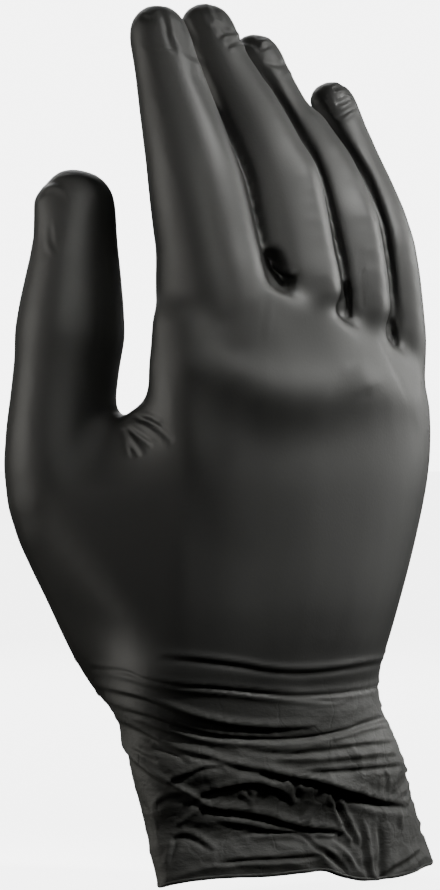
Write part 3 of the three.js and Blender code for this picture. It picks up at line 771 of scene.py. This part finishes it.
def glove_skin():
    """The whole skin at the voxels' spacing, taut over the hand."""
    mesh = remeshed(outer_skin(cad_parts["glove_film"]), VOXEL)
    smoothed(mesh, rounds=10, keep=KEEP_SIZE)
    mesh = remeshed(with_sweeps(mesh), COARSE_VOXEL)
    bridged(mesh, rounds=260)
    mesh = remeshed(mesh, VOXEL)
    smoothed(mesh, rounds=16, keep=KEEP_SIZE)
    smoothed(mesh, rounds=120, keep=KEEP_TAUT, share=share_in(mesh, TAUT)[:, None])
    smoothed(mesh, rounds=60, keep=KEEP_LITTLE, share=share_in(mesh, THUMB_BASE)[:, None])
    pulled(mesh)
    add_valleys(mesh)
    smoothed(mesh, rounds=8, keep=KEEP_HALF)
    return mesh


def refined(mesh):
    """Finer where the photograph shows folds."""
    points = vertices_of(mesh) / MM
    seen = normals_of(mesh) @ FORWARD < 0.15
    mesh = subdivided(mesh, ((points[:, 2] < CUFF_TOP) | crease_zone(points)) & seen)
    smoothed(mesh, rounds=4, keep=KEEP_SIZE)
    return mesh


def cut_mouth(mesh):
    """Cuts the skirt off level, just above where it starts."""
    bm = bmesh.new()
    bm.from_mesh(mesh)
    bmesh.ops.bisect_plane(
        bm, geom=bm.verts[:] + bm.edges[:] + bm.faces[:], dist=1e-6,
        plane_co=(0, 0, MOUTH_CUT * MM), plane_no=(0, 0, -1), clear_outer=True,
    )
    result = bpy.data.meshes.new("glove_skin")
    bm.to_mesh(result)
    bm.free()
    return result


def rim_loop(mesh):
    """The rim's vertices in order, in metres."""
    bm = bmesh.new()
    bm.from_mesh(mesh)
    edges = [e for e in bm.edges if e.is_boundary]
    first = edges[0].verts[0]
    loop, seen, here = [first], {first}, first
    while True:
        ahead = [
            e.other_vert(here) for e in here.link_edges
            if e.is_boundary and e.other_vert(here) not in seen
        ]
        if not ahead:
            break
        here = ahead[0]
        seen.add(here)
        loop.append(here)
    points = np.array([tuple(v.co) for v in loop])
    bm.free()
    return points


def bead(mesh):
    """The rolled edge along the rim, as points and faces."""
    path = rim_loop(mesh)
    for _ in range(6):
        path = 0.5 * path + 0.25 * (np.roll(path, 1, 0) + np.roll(path, -1, 0))
    ways = np.roll(path, -1, 0) - np.roll(path, 1, 0)
    ways /= np.linalg.norm(ways, axis=1, keepdims=True)
    middle = path.mean(0)
    points, faces = [], []
    for k, (place, way) in enumerate(zip(path, ways)):
        outward = (place - middle) * (1, 1, 0)
        outward -= way * (outward @ way)
        outward /= np.linalg.norm(outward)
        upward = np.cross(way, outward)
        if upward[2] < 0:
            upward = -upward
        radius = BEAD_RADIUS * (1 + 0.25 * noise.noise(Vector(place / MM / 5.0)))
        centre = place - outward * FILM * MM / 2
        for side in range(BEAD_SIDES):
            angle = 2 * math.pi * side / BEAD_SIDES
            points.append(centre + radius * MM * (
                math.cos(angle) * outward + 0.9 * math.sin(angle) * upward))
        here, ahead = k * BEAD_SIDES, (k + 1) % len(path) * BEAD_SIDES
        for side in range(BEAD_SIDES):
            over = (side + 1) % BEAD_SIDES
            faces.append((here + side, ahead + side, ahead + over, here + over))
    return points, faces


def add_faces(mesh, points, faces):
    bm = bmesh.new()
    bm.from_mesh(mesh)
    verts = [bm.verts.new(Vector(point)) for point in points]
    made = [bm.faces.new([verts[i] for i in face]) for face in faces]
    bmesh.ops.recalc_face_normals(bm, faces=made)
    bm.to_mesh(mesh)
    bm.free()


def flipped(mesh):
    bm = bmesh.new()
    bm.from_mesh(mesh)
    bmesh.ops.reverse_faces(bm, faces=bm.faces)
    bm.to_mesh(mesh)
    bm.free()


# Material, light and floor

def film_material():
    """Semi-matte black nitrile, finely grained, paler and rougher where it isn't stretched."""
    material = bpy.data.materials.new("black_nitrile")
    material.use_nodes = True
    nodes, links = material.node_tree.nodes, material.node_tree.links
    shader = nodes["Principled BSDF"]
    shader.inputs["IOR"].default_value = 1.5
    place = nodes.new("ShaderNodeTexCoord").outputs["Object"]

    def noise_at(scale, detail, roughness=0.5, stretch=(1, 1, 1)):
        mapping = nodes.new("ShaderNodeMapping")
        mapping.inputs["Scale"].default_value = stretch
        links.new(place, mapping.inputs["Vector"])
        made = nodes.new("ShaderNodeTexNoise")
        made.inputs["Scale"].default_value = scale
        made.inputs["Detail"].default_value = detail
        made.inputs["Roughness"].default_value = roughness
        links.new(mapping.outputs["Vector"], made.inputs["Vector"])
        return made.outputs["Fac"]

    def ranged(value, low, high, first, last):
        made = nodes.new("ShaderNodeMapRange")
        made.interpolation_type = "SMOOTHSTEP"
        made.inputs["From Min"].default_value = low
        made.inputs["From Max"].default_value = high
        made.inputs["To Min"].default_value = first
        made.inputs["To Max"].default_value = last
        links.new(value, made.inputs["Value"])
        return made.outputs["Result"]

    def combined(kind, a, b):
        made = nodes.new("ShaderNodeMath")
        made.operation = kind
        for socket, value in zip(made.inputs, (a, b)):
            if isinstance(value, float):
                socket.default_value = value
            else:
                links.new(value, socket)
        return made.outputs["Value"]

    def bumped(height, strength, distance, before=None):
        made = nodes.new("ShaderNodeBump")
        made.inputs["Strength"].default_value = strength
        made.inputs["Distance"].default_value = distance
        links.new(height, made.inputs["Height"])
        if before is not None:
            links.new(before, made.inputs["Normal"])
        return made.outputs["Normal"]

    parts = nodes.new("ShaderNodeSeparateXYZ")
    links.new(place, parts.inputs["Vector"])
    slack = ranged(parts.outputs["Z"], SLACK_BELOW, TAUT_ABOVE, first=1.0, last=0.0)
    cloud = noise_at(scale=45.0, detail=3.0)
    grain = noise_at(scale=1500.0, detail=2.0)

    # hairline creases between patches of smooth film
    bend = nodes.new("ShaderNodeVectorMath")
    bend.operation = "MULTIPLY_ADD"
    bend.inputs[1].default_value = (0.012, 0.012, 0.012)
    warp = nodes.new("ShaderNodeTexNoise")
    warp.inputs["Scale"].default_value = 90.0
    warp.inputs["Detail"].default_value = 3.0
    links.new(place, warp.inputs["Vector"])
    links.new(warp.outputs["Color"], bend.inputs[0])
    links.new(place, bend.inputs[2])
    cells = nodes.new("ShaderNodeTexVoronoi")
    cells.feature = "DISTANCE_TO_EDGE"
    cells.inputs["Scale"].default_value = 75.0
    links.new(bend.outputs["Vector"], cells.inputs["Vector"])
    hairline = ranged(cells.outputs["Distance"], low=0.0, high=0.06, first=0.0, last=1.0)
    hairline = combined("MULTIPLY", hairline, slack)

    colour = nodes.new("ShaderNodeMix")
    colour.data_type = "RGBA"
    colour.inputs["A"].default_value = TAUT_COLOUR
    colour.inputs["B"].default_value = SLACK_COLOUR
    tone = combined("MULTIPLY", cloud, 0.3)
    tone = combined("ADD", tone, combined("MULTIPLY", slack, 0.7))
    links.new(tone, colour.inputs["Factor"])
    links.new(colour.outputs["Result"], shader.inputs["Base Color"])

    rough = ranged(cloud, low=0.3, high=0.7, first=0.51, last=0.58)
    rough = combined("ADD", rough, combined("MULTIPLY", slack, 0.1))
    rough = combined("ADD", rough, combined("MULTIPLY", grain, 0.05))
    links.new(rough, shader.inputs["Roughness"])

    crumple = noise_at(scale=330.0, detail=4.0, roughness=0.6, stretch=(0.6, 0.6, 1.5))
    crumple = combined("MULTIPLY", crumple, slack)
    normal = bumped(grain, strength=0.45, distance=0.00004)
    normal = bumped(hairline, strength=0.4, distance=0.00012, before=normal)
    normal = bumped(crumple, strength=0.7, distance=0.0004, before=normal)
    links.new(normal, shader.inputs["Normal"])
    return material


# Lights. turn is in degrees from the camera's side round to the right, and rise above level.
# away and size are in metres, size across and up, spread is the width of the beam in degrees,
# and lit the point that the light is aimed at.
LIGHTS = [
    {"name": "key", "turn": 125, "rise": 14, "away": 1.0, "size": (0.22, 0.22), "power": 0.142,
     "spread": 22, "lit": (0.0, 0.015, 0.105), "tint": (1.0, 1.0, 0.97)},
    {"name": "knuckles", "turn": 76, "rise": 44, "away": 0.9, "size": (0.2, 0.15), "power": 0.155,
     "spread": 11, "lit": (0.0, 0.015, 0.126), "tint": (1.0, 1.0, 0.97)},
    {"name": "left", "turn": -88, "rise": 8, "away": 1.1, "size": (0.6, 0.8), "power": 8.2,
     "spread": 180, "lit": (0.0, 0.015, 0.1), "tint": (1.0, 0.98, 0.92)},
    {"name": "thumb", "turn": 0, "rise": 25, "away": 0.9, "size": (0.12, 0.12), "power": 0.024,
     "spread": 9, "lit": (-0.045, 0.036, 0.152), "tint": (1.0, 0.99, 0.95)},
    {"name": "front", "turn": -30, "rise": 25, "away": 1.2, "size": (0.9, 0.6), "power": 0.68,
     "spread": 180, "lit": (0.0, 0.015, 0.1), "tint": (1.0, 1.0, 1.0)},
    {"name": "palm", "turn": 190, "rise": 30, "away": 1.3, "size": (0.9, 0.7), "power": 11,
     "spread": 180, "lit": (0.0, 0.015, 0.1), "tint": (1.0, 1.0, 1.0)},
]


def add_light(row):
    data = bpy.data.lights.new(row["name"], "AREA")
    data.shape = "RECTANGLE"
    data.size, data.size_y = row["size"]
    data.energy = row["power"]
    data.color = row["tint"]
    data.spread = math.radians(row["spread"])
    light = bpy.data.objects.new(row["name"], data)
    bpy.context.scene.collection.objects.link(light)
    turn, rise = math.radians(row["turn"]), math.radians(row["rise"])
    level = RIGHT * math.sin(turn) - FORWARD * math.cos(turn)
    way = Vector(level * math.cos(rise) + UP * math.sin(rise))
    light.location = Vector(row["lit"]) + way * row["away"]
    light.rotation_mode = "QUATERNION"
    light.rotation_quaternion = (-way).to_track_quat("-Z", "Y")


def add_studio():
    mesh = bpy.data.meshes.new("floor")
    bm = bmesh.new()
    bmesh.ops.create_grid(bm, x_segments=1, y_segments=1, size=FLOOR_HALF_SIZE)
    bm.to_mesh(mesh)
    bm.free()
    floor = new_object("floor", mesh)
    floor.location.z = FLOOR_HEIGHT
    material = bpy.data.materials.new("pale_floor")
    material.use_nodes = True
    shader = material.node_tree.nodes["Principled BSDF"]
    shader.inputs["Base Color"].default_value = FLOOR_GREY
    shader.inputs["Roughness"].default_value = 0.8
    shader.inputs["Emission Color"].default_value = WHITE
    shader.inputs["Emission Strength"].default_value = FLOOR_GLOW
    mesh.materials.append(material)
    floor.visible_glossy = False
    floor.visible_diffuse = False
    world = bpy.data.worlds.new("studio")
    bpy.context.scene.world = world
    world.use_nodes = True
    backdrop = world.node_tree.nodes["Background"]
    backdrop.inputs["Color"].default_value = WHITE
    backdrop.inputs["Strength"].default_value = BACKDROP_GLOW
    world.cycles_visibility.diffuse = False
    world.cycles_visibility.glossy = False
    for row in LIGHTS:
        add_light(row)


def finished_piece(name, mesh, material):
    for polygon in mesh.polygons:
        polygon.use_smooth = True
    mesh.materials.clear()
    mesh.materials.append(material)
    piece = new_object(name, mesh)
    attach(piece, "root")
    return piece


# The scene

add_camera()
whole = glove_skin()
inner = cut_mouth(whole)
add_folds(inner, inset=FILM)
inner = modified(inner, "DECIMATE", ratio=INNER_DETAIL)
flipped(inner)
outer = cut_mouth(refined(whole))
add_folds(outer, inset=0.0)
add_faces(outer, *bead(outer))
nitrile = film_material()
glove = finished_piece("nitrile_glove", outer, nitrile)
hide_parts("glove_film")
finished_piece("glove_inside", inner, nitrile)
add_studio()
